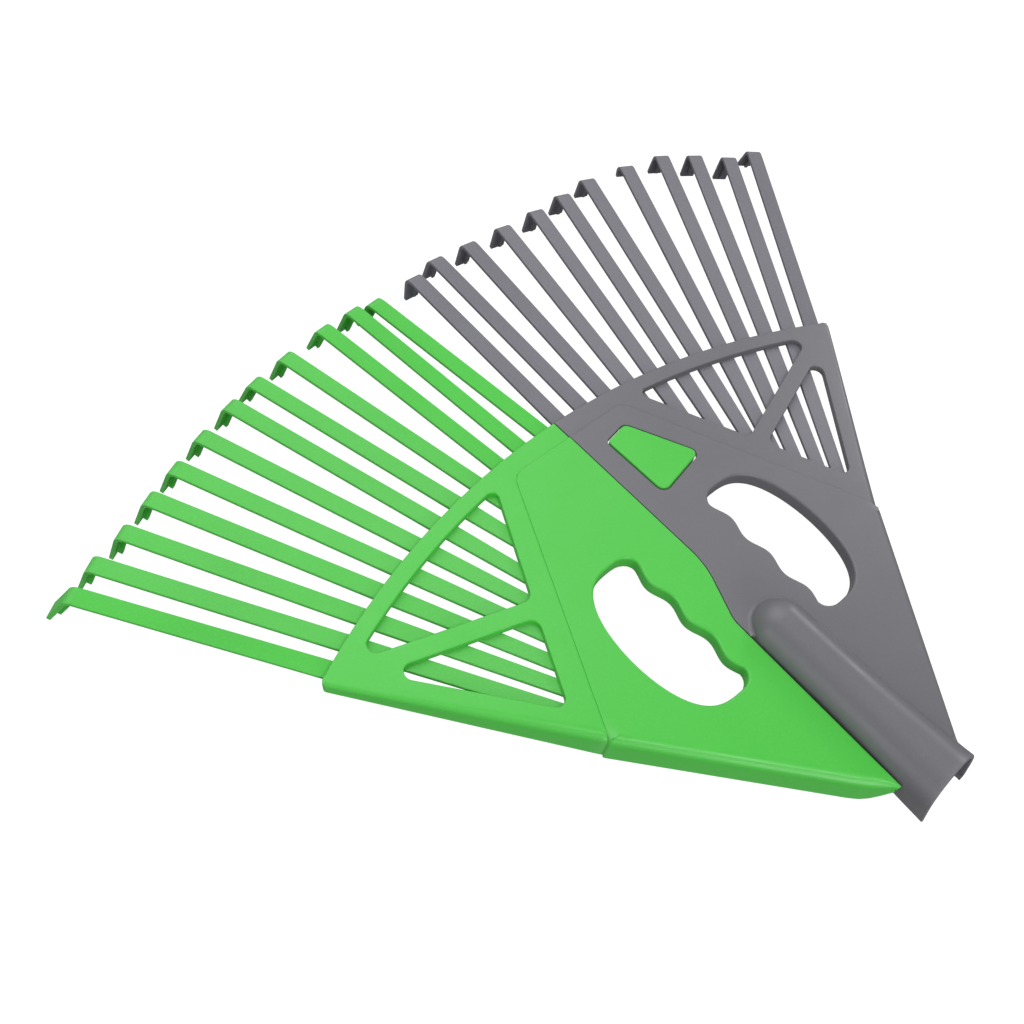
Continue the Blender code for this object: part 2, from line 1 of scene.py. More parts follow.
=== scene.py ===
"""Looks for the two-piece leaf rake head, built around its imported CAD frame.

Plan layout, in millimetres: X runs across the rake, Y along the pole towards the tines, Z up, with the
fan frame's top at Z = 0. `world` turns a plan point into the frame's metres.
"""

import json
import math

import bmesh
import bpy
from mathutils import Matrix, Vector

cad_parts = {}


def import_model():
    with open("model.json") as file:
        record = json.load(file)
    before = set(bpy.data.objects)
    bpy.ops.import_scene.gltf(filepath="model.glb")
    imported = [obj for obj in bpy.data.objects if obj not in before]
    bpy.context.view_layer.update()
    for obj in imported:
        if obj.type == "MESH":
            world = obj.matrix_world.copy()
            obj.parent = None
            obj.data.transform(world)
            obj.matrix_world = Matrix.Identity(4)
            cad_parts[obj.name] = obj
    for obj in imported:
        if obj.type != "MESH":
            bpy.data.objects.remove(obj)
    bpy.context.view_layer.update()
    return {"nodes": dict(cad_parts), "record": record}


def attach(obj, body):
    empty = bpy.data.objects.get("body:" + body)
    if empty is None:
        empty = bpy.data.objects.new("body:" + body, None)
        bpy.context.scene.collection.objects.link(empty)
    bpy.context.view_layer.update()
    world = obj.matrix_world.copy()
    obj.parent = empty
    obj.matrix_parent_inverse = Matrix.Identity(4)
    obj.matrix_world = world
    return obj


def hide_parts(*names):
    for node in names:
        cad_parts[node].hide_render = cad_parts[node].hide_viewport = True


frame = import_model()

MM = 0.001
PLAN_TO_WORLD = Vector((-10.056, -321.05, 24.0))
SIDES = {"green": -1.0, "grey": 1.0}

# Fan frame
FAN_RADIUS = 377.8
WINDOW_RADIUS = 370.0
FRAME_TOP = 0.0
FRAME_THICKNESS = 2.4
BAND_CORNER = (167.0, 339.0)
FRAME_HEEL = (93.2, 249.0)
HEEL_OVERRUN = 1.6
HEEL_INSET = 2.5
RAIL_WALL = 2.2
RAIL_EDGE_WIDTH = 1.2
RAIL_DEPTHS = (6.0, 16.0)
RAIL_ROUNDS = (2.0, 4.3)
BAND_ROUND = 0.7
CORNER_ROUND = 2.4
TUCK = 1.2
WINDOW_ROUND = 0.6
WINDOW_RIM = 1.4
WINDOW_WALL = 1.6
WINDOW_CORNER_CLEAR = 12.0
LARGE_WINDOW_INNER = (46.5, 366.9)
LARGE_WINDOW_HEEL = (73.0, 314.3)
LARGE_WINDOW_OUTER = (149.5, 338.3)
SMALL_WINDOW = ((77.0, 306.6), (95.8, 267.6), (145.5, 328.0))

# Handle body
BODY_TOP = 0.6
BODY_THICKNESS = 2.5
BODY_SKIRT_BOTTOM = -16.5
BODY_FRONT = 366.9
BODY_SHOULDER = (35.6, 366.9)
BODY_HEEL = (93.0, 247.2)
BODY_WALL = 2.6
SKIRT_EDGE_WIDTH = 1.6
SHOULDER_ROUND = 4.5
SHOULDER_CORNER_ROUND = 9.0
SPLIT_ROUND = 0.45
STEP_ROUND = 0.55
GAP = 0.35
SPLIT_X = 0.6
JOG_TOP = (0.6, 279.0)
JOG_FOOT = (-10.6, 252.0)
JOG_ROUNDS = (14.0, 45.0)
GREEN_TIP = (-13.2, 157.0)
GREEN_TIP_TURN = (-25.0, 168.5)
TIP_TURN_ROUND = 40.0
TIP_FADE = 9.0
GREY_TIP = (22.6, 151.0)

# Grip hole
GRIP_FIRST_Y = 228.0
GRIP_LAST_Y = 305.0
GRIP_INNER_X = 28.0
GRIP_WIDTH = 35.0
GRIP_SQUARENESS = 0.62
GRIP_SHIFT = {"green": -3.0, "grey": 0.0}
FINGER_PITCH = 23.5
FINGER_DEPTH = 1.5
FINGER_RIDGE_Y = 265.0
GRIP_TIP = 7.0
GRIP_END_ROUND = 6.0
GRIP_WALL = 2.2
GRIP_WALL_BOTTOM = -6.6
GRIP_RIM_ROUND = 1.2

# Socket arch
SOCKET_X = 3.2
SOCKET_Z = -0.5
SOCKET_END_Y = 143.8
SOCKET_NOSE_Y = 236.5
SOCKET_RADIUS_NOSE = 13.3
SOCKET_FLARE = (
    (SOCKET_END_Y, 16.3, 14.5),
    (165.0, 15.0, 13.2),
    (185.0, 14.0, 12.3),
    (205.0, 13.4, 11.7),
    (SOCKET_NOSE_Y, 13.3, 11.7),
)
SOCKET_END_SLOPE = 0.2
SOCKET_WALL_BOTTOM = -9.5
POLE_STOP_Y = 240.0
CURL_REACH = 3.2
CURL_RADIUS = 1.2
CURL_DEPTH = 1.6
ARCH_LIP = 0.35
FOOT_BLEND = 2.6

# Latch
BUTTON_OUTLINE = ((13.1, 353.7), (26.8, 356.3), (44.7, 323.1), (13.9, 317.2))
BUTTON_ROUNDS = (2.1, 3.6, 3.0, 4.0)
BUTTON_TOP = 1.3
BUTTON_EDGE = 0.8
LATCH_CLEARANCE = 0.7
TONGUE_TOP = -2.6
TONGUE_THICKNESS = 2.0
TONGUE_CORNERS = ((-13.0, 322.0), (43.1, 322.0), (31.1, 352.0), (-13.0, 352.0))

# Edges of the moulded shells
LIP = 0.35
SHARP_ANGLE = 38.0

# Edges of the CAD nodes that stay
BEVEL_ANGLE = 35.0
TINE_BEVEL = 0.35
TROUGH_BEVEL = 0.3

# Both, in metres
WELD_DISTANCE = 2e-6

# Plastic: noise scales per metre, and the grain's height in metres
DRIFT_SCALE = 14.0
SPECK_SCALE = 900.0
GLOSS_SCALE = 45.0
GRAIN_SCALE = 1800.0
GRAIN_HEIGHT = 0.0001


def world(x, y, z):
    """A plan point in the frame's metres."""
    return (Vector((x, y, z)) + PLAN_TO_WORLD) * MM


# ---------------------------------------------------------------- materials


def plastic(name, colour, shades, roughness, grain, scuff, sheen):
    """Moulded plastic: faint colour drift, uneven gloss, scuffed edges and a fine moulded grain.

    Shades are the darkest and lightest share of the colour, and sheen is the shader's specular level.
    """
    darker = tuple(value * shades[0] for value in colour)
    lighter = tuple(min(value * shades[1], 1.0) for value in colour)
    mat = bpy.data.materials.new(name)
    mat.use_nodes = True
    tree = mat.node_tree
    nodes, links = tree.nodes, tree.links
    shader = nodes["Principled BSDF"]
    shader.inputs["Specular IOR Level"].default_value = sheen
    coords = nodes.new("ShaderNodeTexCoord")

    def noise(scale, detail):
        node = nodes.new("ShaderNodeTexNoise")
        node.inputs["Scale"].default_value = scale
        node.inputs["Detail"].default_value = detail
        links.new(coords.outputs["Object"], node.inputs["Vector"])
        return node.outputs["Fac"]

    def spread(source, low, high, out_low, out_high):
        node = nodes.new("ShaderNodeMapRange")
        node.inputs["From Min"].default_value = low
        node.inputs["From Max"].default_value = high
        node.inputs["To Min"].default_value = out_low
        node.inputs["To Max"].default_value = out_high
        links.new(source, node.inputs["Value"])
        return node.outputs["Result"]

    def mixed(first, second, share):
        node = nodes.new("ShaderNodeMix")
        node.data_type = "RGBA"
        if isinstance(first, tuple):
            node.inputs[6].default_value = (*first, 1.0)
        else:
            links.new(first, node.inputs[6])
        node.inputs[7].default_value = (*second, 1.0)
        links.new(share, node.inputs[0])
        return node.outputs[2]

    drift = mixed(darker, colour, spread(noise(DRIFT_SCALE, 3.0), 0.3, 0.7, 0.0, 1.0))
    speck = mixed(drift, lighter, spread(noise(SPECK_SCALE, 2.0), 0.45, 0.75, 0.0, 0.55))
    geometry = nodes.new("ShaderNodeNewGeometry")
    edge = spread(geometry.outputs["Pointiness"], 0.505, 0.56, 0.0, scuff)
    worn = mixed(speck, tuple(0.75 * value + 0.2 for value in colour), edge)
    links.new(worn, shader.inputs["Base Color"])

    gloss = spread(noise(GLOSS_SCALE, 5.0), 0.3, 0.7, roughness - 0.05, roughness + 0.06)
    links.new(gloss, shader.inputs["Roughness"])

    bump = nodes.new("ShaderNodeBump")
    bump.inputs["Strength"].default_value = grain
    bump.inputs["Distance"].default_value = GRAIN_HEIGHT
    links.new(noise(GRAIN_SCALE, 2.0), bump.inputs["Height"])
    links.new(bump.outputs["Normal"], shader.inputs["Normal"])
    return mat


# Slot: colour, darkest and lightest shade, roughness, grain, scuff and sheen
PLASTICS = {
    "green_body": ((0.065, 0.55, 0.052), (0.96, 1.05), 0.34, 0.10, 0.25, 0.5),
    "grey_body": ((0.150, 0.147, 0.164), (0.95, 1.08), 0.38, 0.16, 0.15, 0.5),
    "green_tine": ((0.06, 0.54, 0.045), (0.9, 1.12), 0.5, 0.3, 0.3, 0.3),
    "grey_tine": ((0.165, 0.162, 0.188), (0.88, 1.2), 0.52, 0.4, 0.2, 0.35),
}
MATERIALS = {f"{name}_plastic": plastic(name, *looks) for name, looks in PLASTICS.items()}
SLOT_OF = {s["node"]: s["material_slot"] for s in frame["record"]["subparts"]}

# ---------------------------------------------------------------- shape tools


def fillet(points, radii, steps=8):
    """Round the corners of a closed outline; a radius of 0 keeps the corner sharp."""
    outline = []
    count = len(points)
    for index in range(count):
        corner = Vector(points[index])
        radius = radii[index]
        before = (Vector(points[index - 1]) - corner).normalized()
        after = (Vector(points[(index + 1) % count]) - corner).normalized()
        half = before.angle(after) / 2.0
        if radius <= 0.0 or half > math.radians(89.0):
            outline.append(corner)
            continue
        setback = radius / math.tan(half)
        centre = corner + (before + after).normalized() * (radius / math.sin(half))
        start = corner + before * setback - centre
        end = corner + after * setback - centre
        turn = start.angle(end)
        for step in range(steps + 1):
            share = step / steps
            blend = start * math.sin((1.0 - share) * turn) + end * math.sin(share * turn)
            outline.append(centre + blend / math.sin(turn))
    return outline


def smooth(value):
    """0 to 1 with soft ends."""
    value = min(max(value, 0.0), 1.0)
    return value * value * (3.0 - 2.0 * value)


def mix(low, high, share):
    return low + (high - low) * share


def turned(points, anticlockwise):
    """The same outline in the wanted turning sense."""
    area = sum(points[i - 1].x * points[i].y - points[i].x * points[i - 1].y for i in range(len(points)))
    return list(points) if (area > 0.0) == anticlockwise else list(reversed(points))


def split_long(points, longest=4.0):
    """The same outline with its long legs divided."""
    outline = []
    for index, point in enumerate(points):
        before = points[index - 1]
        parts = max(int(math.ceil((point - before).length / longest)), 1)
        outline += [before.lerp(point, (part + 1) / parts) for part in range(parts)]
    return outline


def moved_in(points, amounts):
    """The outline moved to its left by an amount at each point."""
    result = []
    count = len(points)
    for index, point in enumerate(points):
        before = (point - points[index - 1]).normalized()
        after = (points[(index + 1) % count] - point).normalized()
        first = Vector((-before.y, before.x))
        second = Vector((-after.y, after.x))
        middle = first + second
        if middle.length < 1e-6:
            middle = first
        middle.normalize()
        reach = 1.0 / max(middle.dot(first), 0.65)
        result.append(point + middle * (amounts[index] * reach))
    return result


def add_rings(bm, rings):
    """Join matching closed rings of (x, y, z) plan points with faces; returns the end rings."""
    made = [[bm.verts.new(world(*p)) for p in ring] for ring in rings]
    for near, far in zip(made, made[1:]):
        for i in range(len(near)):
            bm.faces.new((near[i - 1], near[i], far[i], far[i - 1]))
    return made[0], made[-1]


def shell(bm, loops, top, thickness, steps=6):
    """A moulded plate with rounded rims. Each loop is (points, round, bottom, wall).

    Round and bottom are functions of a plan point. A negative round sweeps up instead of down.
    """
    under = top - thickness
    tops, bottoms = [], []
    for number, (points, round_at, bottom_at, wall) in enumerate(loops):
        points = split_long(turned(points, number == 0))
        rounds = [round_at(p) for p in points]
        depths = [bottom_at(p) for p in points]
        rings = []
        for step in range(steps + 1):
            turn = math.pi / 2.0 * step / steps
            inset = moved_in(points, [abs(r) * (1.0 - math.sin(turn)) for r in rounds])
            rings.append(
                [(p.x, p.y, top - r * (1.0 - math.cos(turn))) for p, r in zip(inset, rounds)]
            )
        rings.append([(p.x, p.y, min(z + LIP, top - 0.5)) for p, z in zip(points, depths)])
        inset = moved_in(points, [LIP * 0.3] * len(points))
        rings.append([(p.x, p.y, z + LIP * 0.3) for p, z in zip(inset, depths)])
        inset = moved_in(points, [LIP] * len(points))
        rings.append([(p.x, p.y, z) for p, z in zip(inset, depths)])
        inset = moved_in(points, [wall] * len(points))
        rings.append([(p.x, p.y, z) for p, z in zip(inset, depths)])
        rings.append([(p.x, p.y, under + 0.01 * (z < under)) for p, z in zip(inset, depths)])
        first, last = add_rings(bm, rings)
        tops.append(first)
        bottoms.append(last)
    for rims in (tops, bottoms):
        edges = []
        for rim in rims:
            edges += [bm.edges.get((rim[i - 1], rim[i])) for i in range(len(rim))]
        bmesh.ops.triangle_fill(bm, use_beauty=True, use_dissolve=False, edges=edges)
    bmesh.ops.remove_doubles(bm, verts=bm.verts, dist=WELD_DISTANCE)


def finish_piece(name, bm, slot, body, nodes):
    """Make the piece, give it its plastic, and put it in place of its CAD nodes."""
    bmesh.ops.recalc_face_normals(bm, faces=bm.faces)
    mesh = bpy.data.meshes.new(name)
    bm.to_mesh(mesh)
    bm.free()
    mesh.materials.append(MATERIALS[slot])
    mesh.shade_smooth()
    mesh.set_sharp_from_angle(angle=math.radians(SHARP_ANGLE))
    piece = bpy.data.objects.new(name, mesh)
    bpy.context.scene.collection.objects.link(piece)
    even = piece.modifiers.new("even_shading", "WEIGHTED_NORMAL")
    even.keep_sharp = True
    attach(piece, body)
    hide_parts(*nodes)
    return piece


def on_side(points, side):
    """Points given for the grey side, on either side of the pole."""
    return [Vector((side * p[0], p[1])) for p in points]


# ---------------------------------------------------------------- fan frames


def window_outlines():
    """The large and the small window on the grey side."""
    first = math.atan2(LARGE_WINDOW_INNER[0], LARGE_WINDOW_INNER[1])
    last = math.atan2(LARGE_WINDOW_OUTER[0], LARGE_WINDOW_OUTER[1])
    arc_steps = 24
    clear = WINDOW_CORNER_CLEAR / WINDOW_RADIUS
    span = last - first - 2.0 * clear
    angles = [first + clear + span * step / arc_steps for step in range(arc_steps + 1)]
    angles = [first, *angles, last]
    points = [(WINDOW_RADIUS * math.sin(angle), WINDOW_RADIUS * math.cos(angle)) for angle in angles]
    points.append(LARGE_WINDOW_HEEL)
    radii = [3.0] + [0.0] * (arc_steps + 1) + [4.0, 5.0]
    return [fillet(points, radii), fillet(SMALL_WINDOW, (4.5, 4.0, 4.0))]


def fan_frame(colour, side):
    corner_angle = math.atan2(BAND_CORNER[0], BAND_CORNER[1])
    first_angle = math.asin((SPLIT_X * side + GAP / 2.0) / FAN_RADIUS)
    arc_steps = 60
    outline = []
    for step in range(arc_steps + 1):
        angle = first_angle + (corner_angle - first_angle) * step / arc_steps
        outline.append(Vector((FAN_RADIUS * math.sin(angle), FAN_RADIUS * math.cos(angle))))
    outer = Vector(BAND_CORNER).normalized() * FAN_RADIUS
    heel = Vector(FRAME_HEEL)
    along = (outer - heel).normalized()
    inner_x = outline[0].x
    corner = fillet([outline[-3], outer, heel], [0.0, CORNER_ROUND, 0.0])
    outline = outline[:-1] + corner[1:-1]
    tuck = Vector((-TUCK, -TUCK))
    outline.append(heel - along * HEEL_OVERRUN)
    outline.append(outline[-1] + Vector((-along.y, along.x)) * HEEL_INSET)
    outline.append(Vector(BODY_SHOULDER) + tuck)
    outline.append(Vector((inner_x, BODY_FRONT + tuck.y)))

    def rail(p):
        """0 away from the outer rail, 1 on it; and the share of the way from the band to the heel."""
        offset = Vector((side * p.x, p.y)) - outer
        aside = abs(offset.x * along.y - offset.y * along.x)
        share = -offset.dot(along) / (outer - heel).length
        return 1.0 - smooth((aside - 0.2) / RAIL_EDGE_WIDTH), min(max(share, 0.0), 1.0)

    def round_at(p):
        weight, share = rail(p)
        return mix(BAND_ROUND, mix(*RAIL_ROUNDS, smooth(share)), weight)

    def bottom_at(p):
        weight, share = rail(p)
        return -mix(FRAME_THICKNESS, mix(*RAIL_DEPTHS, share), weight)

    bm = bmesh.new()
    loops = [(on_side(outline, side), round_at, bottom_at, RAIL_WALL)]
    for window in window_outlines():
        loops.append(
            (
                on_side(window, side),
                lambda p: WINDOW_ROUND,
                lambda p: -FRAME_THICKNESS - WINDOW_RIM,
                WINDOW_WALL,
            )
        )
    shell(bm, loops, FRAME_TOP, FRAME_THICKNESS)
    finish_piece(
        f"{colour}_frame_shell", bm, f"{colour}_body_plastic", f"{colour}_scoop", [f"{colour}_fan_frame"]
    )


# ---------------------------------------------------------------- handle bodies


def grip_outline(colour):
    """The grip hole on the grey side: a D with finger hollows towards the socket."""
    shift = GRIP_SHIFT[colour]
    middle = (GRIP_FIRST_Y + GRIP_LAST_Y) / 2.0
    half = (GRIP_LAST_Y - GRIP_FIRST_Y) / 2.0
    round_steps = 60
    tip_x = GRIP_INNER_X + GRIP_TIP
    points = []
    for step in range(round_steps + 1):
        angle = math.pi / 2.0 * math.cos(math.pi * step / round_steps)
        reach = max(math.cos(angle), 0.0) ** GRIP_SQUARENESS
        x = tip_x + (GRIP_WIDTH - GRIP_TIP) * reach
        points.append(Vector((x + shift, middle + half * math.sin(angle))))
    finger_steps = 60
    corner_steps = 6
    low = middle - half + GRIP_END_ROUND
    high = middle + half - GRIP_END_ROUND

    def hollow(y):
        wave = FINGER_DEPTH * math.cos(2.0 * math.pi * (y - FINGER_RIDGE_Y) / FINGER_PITCH)
        return GRIP_INNER_X + wave

    def corner(y, way, share):
        turn = math.pi / 2.0 * share
        x = tip_x - (tip_x - hollow(y)) * math.sin(turn)
        return Vector((x + shift, y - way * GRIP_END_ROUND * math.cos(turn)))

    points += [corner(low, 1.0, step / corner_steps) for step in range(1, corner_steps)]
    for step in range(finger_steps + 1):
        y = low + (high - low) * step / finger_steps
        points.append(Vector((hollow(y) + shift, y)))
    points += [corner(high, -1.0, step / corner_steps) for step in range(corner_steps - 1, 0, -1)]
    return points


def foot_radius(outer):
    """Half the arch's width at the top of the blend that joins it to the plate."""
    rise = BODY_TOP + FOOT_BLEND - SOCKET_Z
    return math.sqrt(outer * outer - rise * rise) - 0.08


def grey_body_outline():
    """Clockwise from the split line's far end, with a bay around the socket arch."""
    nose_radius = foot_radius(SOCKET_RADIUS_NOSE)
    nose = []
    nose_steps = 28
    for step in range(nose_steps + 1):
        angle = math.radians(2.0 + 162.0 * step / nose_steps)
        aside = nose_radius * math.cos(angle)
        nose.append((SOCKET_X + aside, SOCKET_NOSE_Y + nose_radius * math.sin(angle)))
    edge = [(SOCKET_X + foot_radius(outer), y) for y, outer, bore in SOCKET_FLARE[1:-1]]
    points = [(SPLIT_X + GAP / 2.0, BODY_FRONT), BODY_SHOULDER, BODY_HEEL, GREY_TIP]
    points.append((edge[0][0] + 0.5, GREY_TIP[1] + 1.0))
    points += edge
    points += nose
    points += [
        (JOG_FOOT[0] + GAP / 2.0, SOCKET_NOSE_Y + 5.5),
        (JOG_FOOT[0] + GAP / 2.0, JOG_FOOT[1]),
        (JOG_TOP[0] + GAP / 2.0, JOG_TOP[1]),
    ]
    bay = [0.0] * (len(edge) + len(nose))
    return fillet(points, [0.0, SHOULDER_CORNER_ROUND, 2.0, 1.0, 0.0, *bay, 0.0, *JOG_ROUNDS])


def green_body_outline():
    """Given on the +X side, so its split line is mirrored."""
    points = [
        (-SPLIT_X + GAP / 2.0, BODY_FRONT),
        BODY_SHOULDER,
        BODY_HEEL,
        (-GREEN_TIP_TURN[0], GREEN_TIP_TURN[1]),
        (-GREEN_TIP[0] + 0.9, GREEN_TIP[1] + 0.5),
        (-GREEN_TIP[0], GREEN_TIP[1] + 0.4),
        (-JOG_FOOT[0] + GAP / 2.0, JOG_FOOT[1]),
        (-JOG_TOP[0] + GAP / 2.0, JOG_TOP[1]),
    ]
    radii = [0.0, SHOULDER_CORNER_ROUND, 2.0, TIP_TURN_ROUND, 0.3, 0.2, *JOG_ROUNDS]
    return fillet(points, radii)


def grown_button(grow):
    """The button's outline moved outwards by a clearance."""
    points = turned([Vector(p) for p in BUTTON_OUTLINE], True)
    moved = moved_in(points, [-grow] * len(points))
    return fillet(moved, [r + grow for r in reversed(BUTTON_ROUNDS)])


def handle_body(colour, side):
    outline = grey_body_outline() if colour == "grey" else green_body_outline()
    tip = GREY_TIP if colour == "grey" else (-GREEN_TIP_TURN[0], GREEN_TIP_TURN[1])
    heel = Vector(BODY_HEEL)
    along = (Vector(tip) - heel).normalized()
    under = BODY_TOP - BODY_THICKNESS

    def skirt(p):
        """1 along the outer skirt, 0 where the plate has a thin edge."""
        place = Vector((side * p.x, p.y))
        offset = place - heel
        aside = abs(offset.x * along.y - offset.y * along.x)
        weight = 1.0 - smooth((aside - 0.3) / SKIRT_EDGE_WIDTH)
        if colour == "green" and place.y < GREEN_TIP_TURN[1] + 4.0:
            share = min(max((place.x + GREEN_TIP[0]) / TIP_FADE, 0.0), 1.0)
            weight *= math.sqrt(share * (2.0 - share))
        return weight

    def foot(p):
        """1 along the arch's foot, 0 elsewhere."""
        if colour == "green" or p.y > SOCKET_NOSE_Y + SOCKET_RADIUS_NOSE:
            return 0.0
        inside = abs(p.x - SOCKET_X) < foot_radius(SOCKET_FLARE[1][1]) + 0.1 and p.y > 160.0
        reach = (p - Vector((SOCKET_X, SOCKET_NOSE_Y))).length
        near_nose = p.y > SOCKET_NOSE_Y and reach < foot_radius(SOCKET_RADIUS_NOSE) + 0.1
        return 1.0 if near_nose or (inside and p.y <= SOCKET_NOSE_Y and p.x > SOCKET_X) else 0.0

    def round_at(p):
        if foot(p) > 0.0:
            return -FOOT_BLEND
        edge = STEP_ROUND if p.y > 250.0 and abs(p.x) > 3.0 else SPLIT_ROUND
        rounding = mix(edge, SHOULDER_ROUND, skirt(p))
        if colour == "green" and p.y < GREEN_TIP_TURN[1]:
            rounding = min(rounding, max((GREEN_TIP[0] - p.x) / 0.95, 0.3))
        return rounding

    def bottom_at(p):
        return mix(under, BODY_SKIRT_BOTTOM, skirt(p))

    bm = bmesh.new()
    loops = [
        (on_side(outline, side), round_at, bottom_at, BODY_WALL),
        (
            on_side(grip_outline(colour), side),
            lambda p: GRIP_RIM_ROUND,
            lambda p: GRIP_WALL_BOTTOM,
            GRIP_WALL,
        ),
    ]
    if colour == "grey":
        loops.append((grown_button(LATCH_CLEARANCE), lambda p: 0.4, lambda p: under, 0.8))
    shell(bm, loops, BODY_TOP, BODY_THICKNESS)
    finish_piece(
        f"{colour}_body_shell",
        bm,
        f"{colour}_body_plastic",
        f"{colour}_scoop",
        [f"{colour}_handle_body"],
    )


# ---------------------------------------------------------------- socket arch


def flare_at(y):
    """The arch's outer and bore radius at a distance along the pole."""
    for (y0, outer0, bore0), (y1, outer1, bore1) in zip(SOCKET_FLARE, SOCKET_FLARE[1:]):
        if y <= y1:
            share = max((y - y0) / (y1 - y0), 0.0)
            return mix(outer0, outer1, share), mix(bore0, bore1, share)
    return SOCKET_FLARE[-1][1], SOCKET_FLARE[-1][2]


def arch_section(y, outer, bore, bottom, inner_y, slope):
    """A closed section of the arch: outside, left foot, bore, and a curled lip on the right."""
    arc_steps = 48
    points = []

    def add(x, z, at):
        points.append((x, at + slope * (max(z, SOCKET_WALL_BOTTOM) - SOCKET_Z), z))

    right = SOCKET_X + outer
    curl = min(CURL_RADIUS, outer * 0.4)
    for step in range(7):
        turn = math.pi / 2.0 * (1.0 - step / 6.0)
        add(right - curl + curl * math.cos(turn), bottom - CURL_DEPTH + curl - curl * math.sin(turn), y)
    for step in range(arc_steps + 1):
        turn = math.pi * step / arc_steps
        add(SOCKET_X + outer * math.cos(turn), SOCKET_Z + outer * math.sin(turn), y)
    add(SOCKET_X - outer, bottom + 0.5, y)
    add(SOCKET_X - outer + 0.4, bottom, y)
    add(SOCKET_X - bore - 0.3, bottom, y)
    add(SOCKET_X - bore, bottom + 0.4, inner_y)
    for step in range(arc_steps + 1):
        turn = math.pi * (1.0 - step / arc_steps)
        add(SOCKET_X + bore * math.cos(turn), SOCKET_Z + bore * math.sin(turn), inner_y)
    add(SOCKET_X + bore, bottom, inner_y)
    reach = min(CURL_REACH, outer * 0.6)
    add(right - reach, bottom, y)
    add(right - reach, bottom - CURL_DEPTH, y)
    return points


def socket_arch():
    sections = []
    last_straight = SOCKET_NOSE_Y
    station_count = 36
    for step in range(station_count + 1):
        y = SOCKET_END_Y + (last_straight - SOCKET_END_Y) * step / station_count
        outer, bore = flare_at(y)
        slope = SOCKET_END_SLOPE * (1.0 - smooth((y - SOCKET_END_Y) / 8.0))
        if step == 0:
            lip = (outer - ARCH_LIP, bore + ARCH_LIP)
            sections.append(arch_section(y, *lip, SOCKET_WALL_BOTTOM, y, slope))
            y += ARCH_LIP
        sections.append(arch_section(y, outer, bore, SOCKET_WALL_BOTTOM, y, slope))
    nose_steps = 16
    for step in range(1, nose_steps + 1):
        turn = math.radians(88.0) * step / nose_steps
        shrink = math.cos(turn)
        y = SOCKET_NOSE_Y + SOCKET_RADIUS_NOSE * math.sin(turn)
        outer = SOCKET_RADIUS_NOSE * shrink
        bottom = SOCKET_WALL_BOTTOM * shrink - 1.0 * (1.0 - shrink)
        bore = max(SOCKET_FLARE[-1][2] * shrink - 0.2, 0.05)
        sections.append(arch_section(y, outer, bore, bottom, min(y - 0.5, POLE_STOP_Y), 0.0))
    bm = bmesh.new()
    first, last = add_rings(bm, sections)
    bm.faces.new(first)
    bm.faces.new(last)
    finish_piece(
        "grey_socket_arch", bm, "grey_body_plastic", "grey_scoop", ["grey_socket_upper_shell"]
    )


# ---------------------------------------------------------------- latch


def latch():
    bm = bmesh.new()
    tongue = fillet(TONGUE_CORNERS, (3.0,) * len(TONGUE_CORNERS))
    flat = TONGUE_TOP - TONGUE_THICKNESS
    shell(bm, [(tongue, lambda p: 0.4, lambda p: flat, 1.0)], TONGUE_TOP, TONGUE_THICKNESS, 3)
    depth = flat + 0.5
    shell(bm, [(grown_button(0.0), lambda p: BUTTON_EDGE, lambda p: depth, 1.6)], BUTTON_TOP, 2.6)
    finish_piece("latch_button_shell", bm, "green_body_plastic", "latch", ["latch_button"])


# ---------------------------------------------------------------- CAD nodes that stay


def soften(node, width):
    """Round the CAD node's edges and even out its shading."""
    weld = node.modifiers.new("weld", "WELD")
    weld.merge_threshold = WELD_DISTANCE
    bevel = node.modifiers.new("soft_edges", "BEVEL")
    bevel.limit_method = "ANGLE"
    bevel.angle_limit = math.radians(BEVEL_ANGLE)
    bevel.width = width * MM
    bevel.segments = 2
    bevel.harden_normals = False
    even = node.modifiers.new("even_shading", "WEIGHTED_NORMAL")
    even.keep_sharp = True


for node_name, node in frame["nodes"].items():
    node.data.materials.clear()
    node.data.materials.append(MATERIALS[SLOT_OF[node_name]])
    if "_tine_" in node_name:
        soften(node, TINE_BEVEL)
    if node_name == "green_socket_lower_trough":
        soften(node, TROUGH_BEVEL)

for half_colour, half_side in SIDES.items():
    fan_frame(half_colour, half_side)
    handle_body(half_colour, half_side)
socket_arch()
latch()

# ---------------------------------------------------------------- stage


# Name, place in metres, side of the square panel in metres and power in watts
LAMPS = (
    ("overhead", (0.1, 0.8, 1.05), 1.5, 11.6),
    ("right_streak", (1.6, 0.2, 0.95), 0.35, 5.0),
    ("left_rim", (-0.3, -0.89, 1.4), 0.4, 5.0),
    ("front_fill", (-0.55, -1.4, 0.35), 0.8, 8.0),
    ("left_fill", (-1.4, 0.2, 0.3), 0.8, 3.0),
)
FLOOR_SIZE = 60.0
FLOOR_DROP = 0.0005
HORIZON_BLEND = 0.3
SKY_BELOW = 0.2
SKY_ABOVE = 0.4


def soft_light(name, place, side, power):
    """A square lamp that faces the middle of the rake."""
    data = bpy.data.lights.new(name, "AREA")
    data.shape = "RECTANGLE"
    data.size = side
    data.size_y = side
    data.energy = power
    lamp = bpy.data.objects.new(name, data)
    lamp.location = place
    lamp.rotation_euler = (-Vector(place)).to_track_quat("-Z", "Y").to_euler()
    bpy.context.scene.collection.objects.link(lamp)


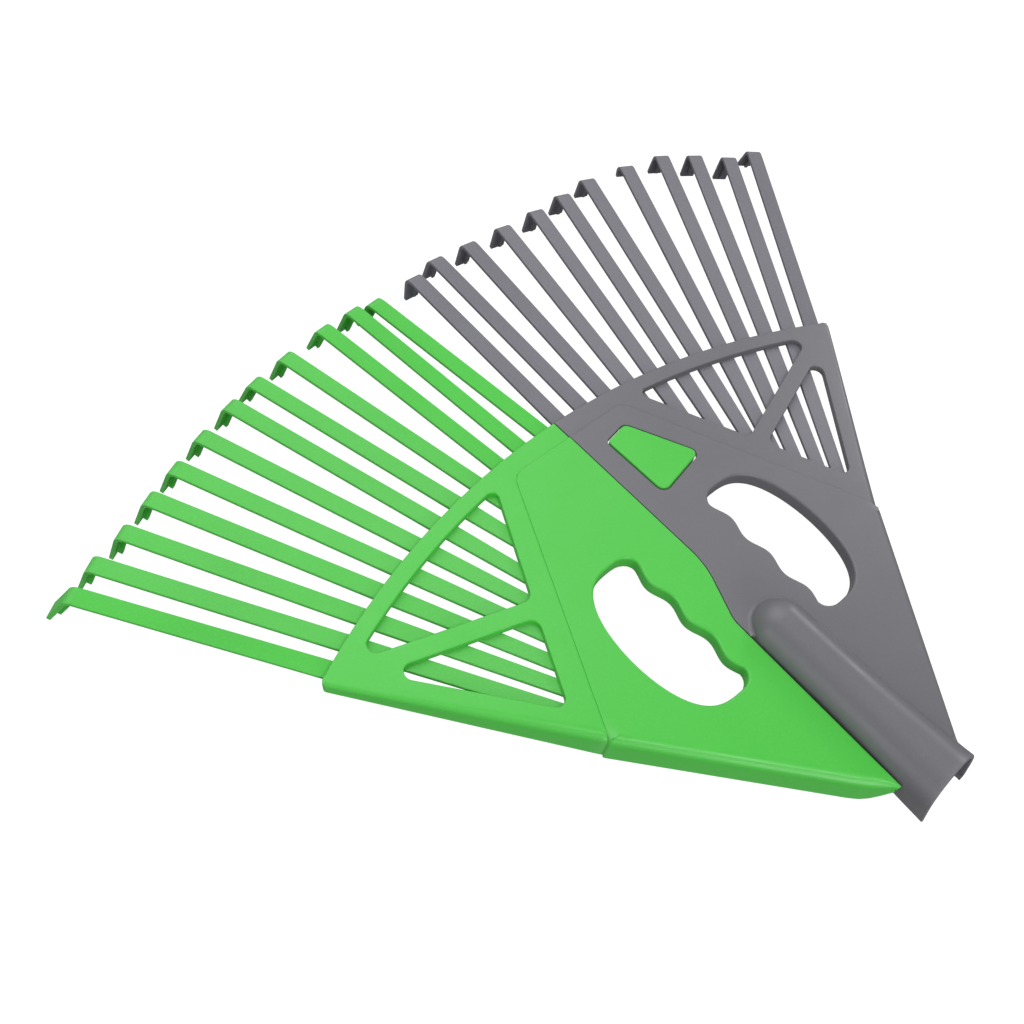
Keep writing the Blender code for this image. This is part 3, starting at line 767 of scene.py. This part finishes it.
def make_stage():
    """A white floor that throws no light back, a soft sky and the lamps."""
    bpy.ops.mesh.primitive_plane_add(size=FLOOR_SIZE, location=(0.0, 0.0, -FLOOR_DROP))
    floor = bpy.context.object
    floor.name = "floor"
    mat = bpy.data.materials.new("floor_paper")
    mat.use_nodes = True
    shader = mat.node_tree.nodes["Principled BSDF"]
    shader.inputs["Base Color"].default_value = (0.1, 0.1, 0.1, 1.0)
    shader.inputs["Emission Color"].default_value = (1.0, 1.0, 1.0, 1.0)
    shader.inputs["Emission Strength"].default_value = 1.0
    shader.inputs["Roughness"].default_value = 0.9
    floor.data.materials.append(mat)
    floor.visible_diffuse = False
    floor.visible_glossy = False

    sky = bpy.data.worlds.new("studio")
    sky.use_nodes = True
    nodes, links = sky.node_tree.nodes, sky.node_tree.links
    coords = nodes.new("ShaderNodeTexCoord")
    parts = nodes.new("ShaderNodeSeparateXYZ")
    height = nodes.new("ShaderNodeMapRange")
    height.inputs["From Min"].default_value = -HORIZON_BLEND
    height.inputs["From Max"].default_value = HORIZON_BLEND
    height.inputs["To Min"].default_value = SKY_BELOW
    height.inputs["To Max"].default_value = SKY_ABOVE
    links.new(coords.outputs["Generated"], parts.inputs["Vector"])
    links.new(parts.outputs["Z"], height.inputs["Value"])
    links.new(height.outputs["Result"], nodes["Background"].inputs["Strength"])
    nodes["Background"].inputs["Color"].default_value = (1.0, 1.0, 1.0, 1.0)
    bpy.context.scene.world = sky
    for lamp in LAMPS:
        soft_light(*lamp)
    bpy.context.scene.view_settings.view_transform = "Standard"


def make_camera():
    data = bpy.data.cameras.new("camera")
    data.sensor_width = 36.0
    data.lens = 40.55
    data.clip_start = 0.01
    camera = bpy.data.objects.new("camera", data)
    place = world(-286.72, 182.46, 423.78)
    right = Vector((0.72945, -0.66980, 0.13882))
    up = Vector((0.50589, 0.66486, 0.54958))
    back = right.cross(up).normalized()
    up = back.cross(right).normalized()
    turn = Matrix((right.normalized(), up, back)).transposed()
    camera.matrix_world = Matrix.Translation(place) @ turn.to_4x4()
    bpy.context.scene.collection.objects.link(camera)
    bpy.context.scene.camera = camera


make_stage()
make_camera()
